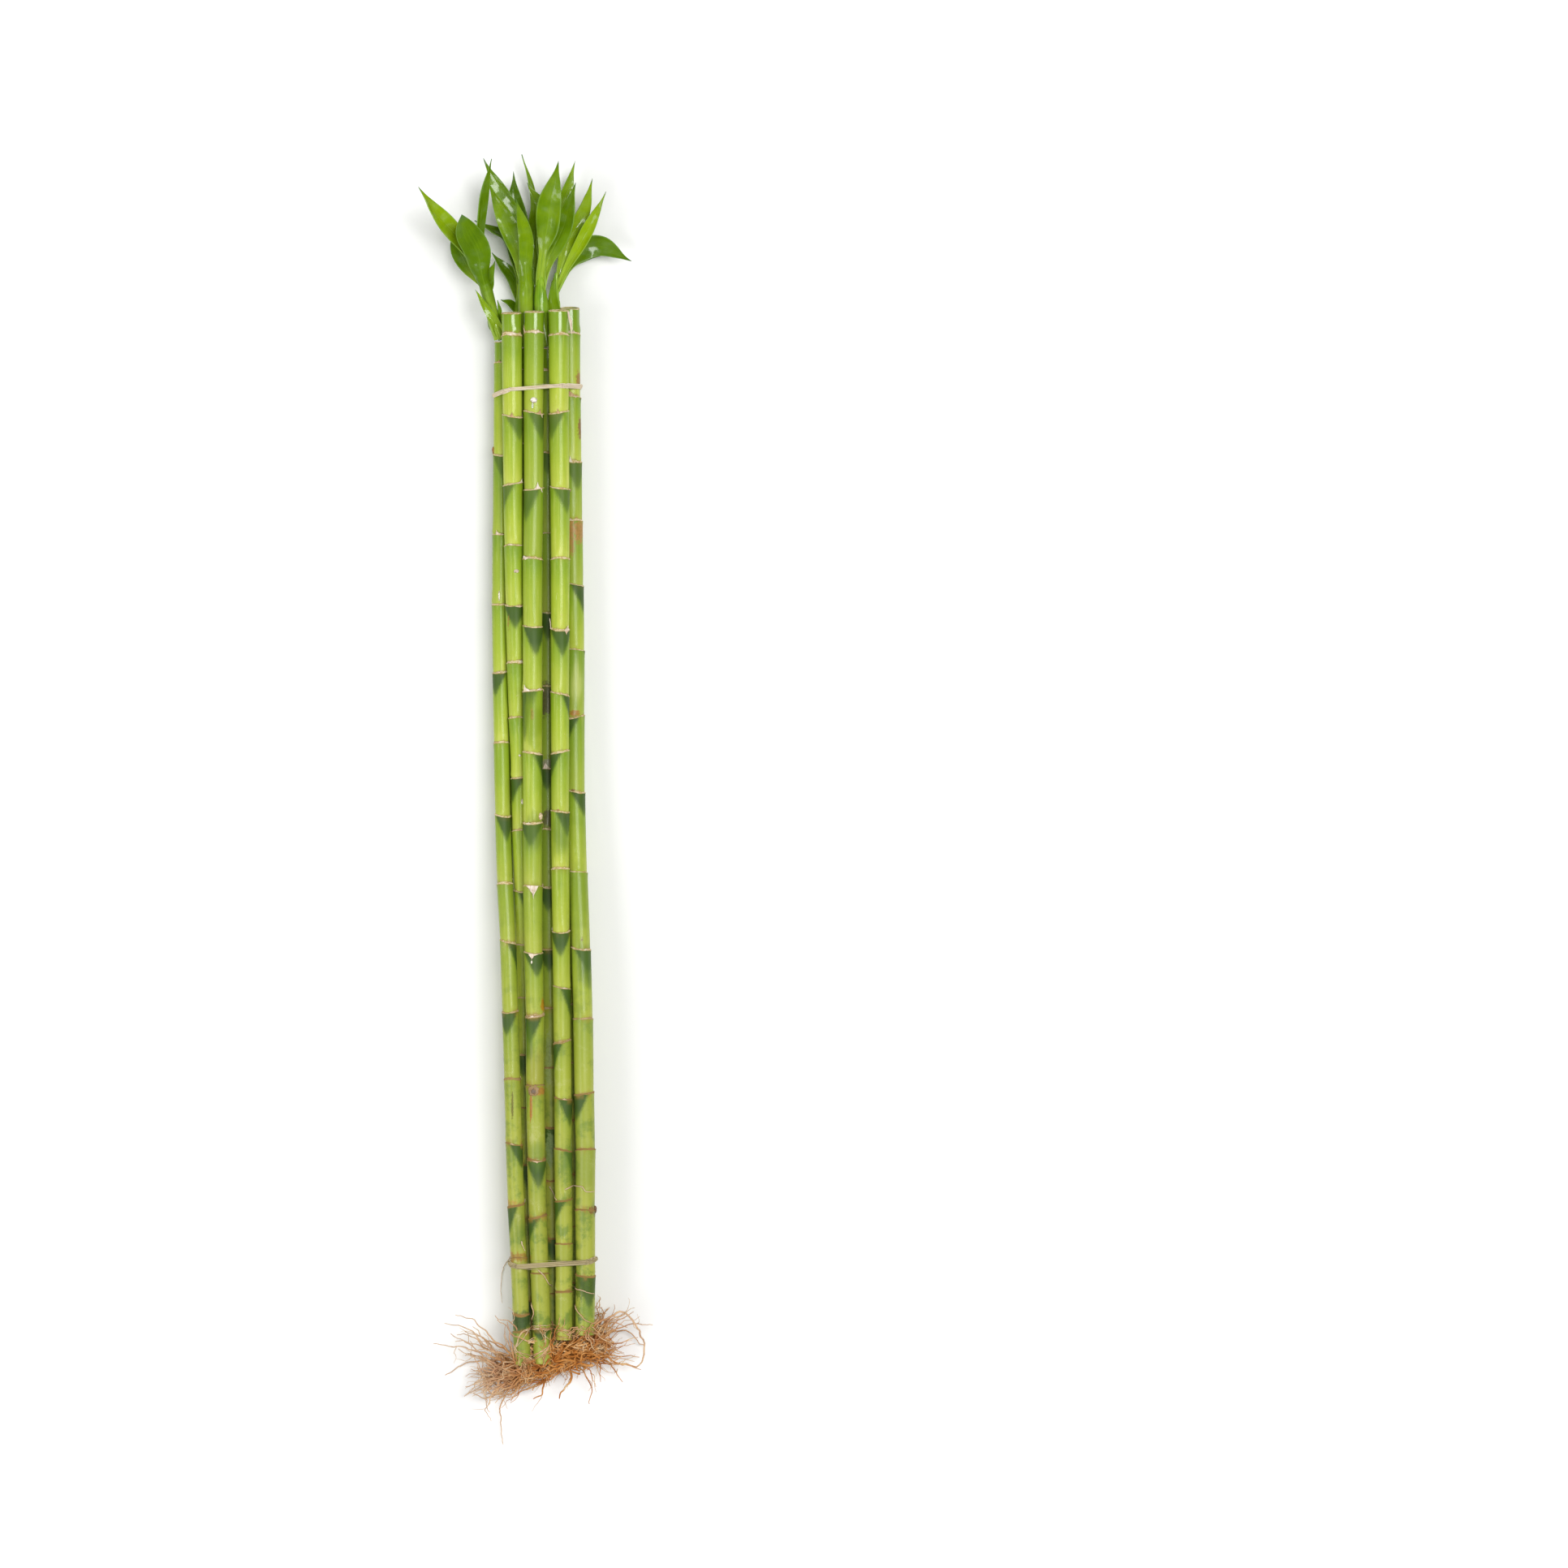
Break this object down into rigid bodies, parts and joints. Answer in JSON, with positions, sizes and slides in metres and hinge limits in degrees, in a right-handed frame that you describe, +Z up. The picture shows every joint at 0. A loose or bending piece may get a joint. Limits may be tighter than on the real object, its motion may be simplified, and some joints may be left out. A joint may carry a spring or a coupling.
{
  "type": "lucky bamboo bundle",
  "caption": "Bundle of tied bare-root lucky bamboo canes with leafy shoots at one end and a tangle of roots at the other, lying on its side.",
  "frame": {"origin": "middle of the part's box on the surface that it lies on", "axes": "+Y along the canes towards the leaves, +X to the picture's right, +Z up off the surface"},
  "size_m": [0.0932, 0.5163, 0.0313],
  "materials": {
    "cane": "satin",
    "leaf": "gloss",
    "root": "matte",
    "tie": "matte"
  },
  "bodies": {
    "root": {"cane_a": "cane", "cane_b": "cane", "cane_c": "cane", "cane_d": "cane", "cane_e": "cane", "cane_f": "cane", "cane_g": "cane", "cane_h": "cane", "cane_i": "cane", "cane_j": "cane", "shoot_a": "leaf", "shoot_f": "leaf", "shoot_g": "leaf", "shoot_h": "leaf", "shoot_i": "leaf", "shoot_j": "leaf", "root_tangle": "root", "tie_upper": "tie", "tie_lower": "tie"}
  },
  "joints": []
}
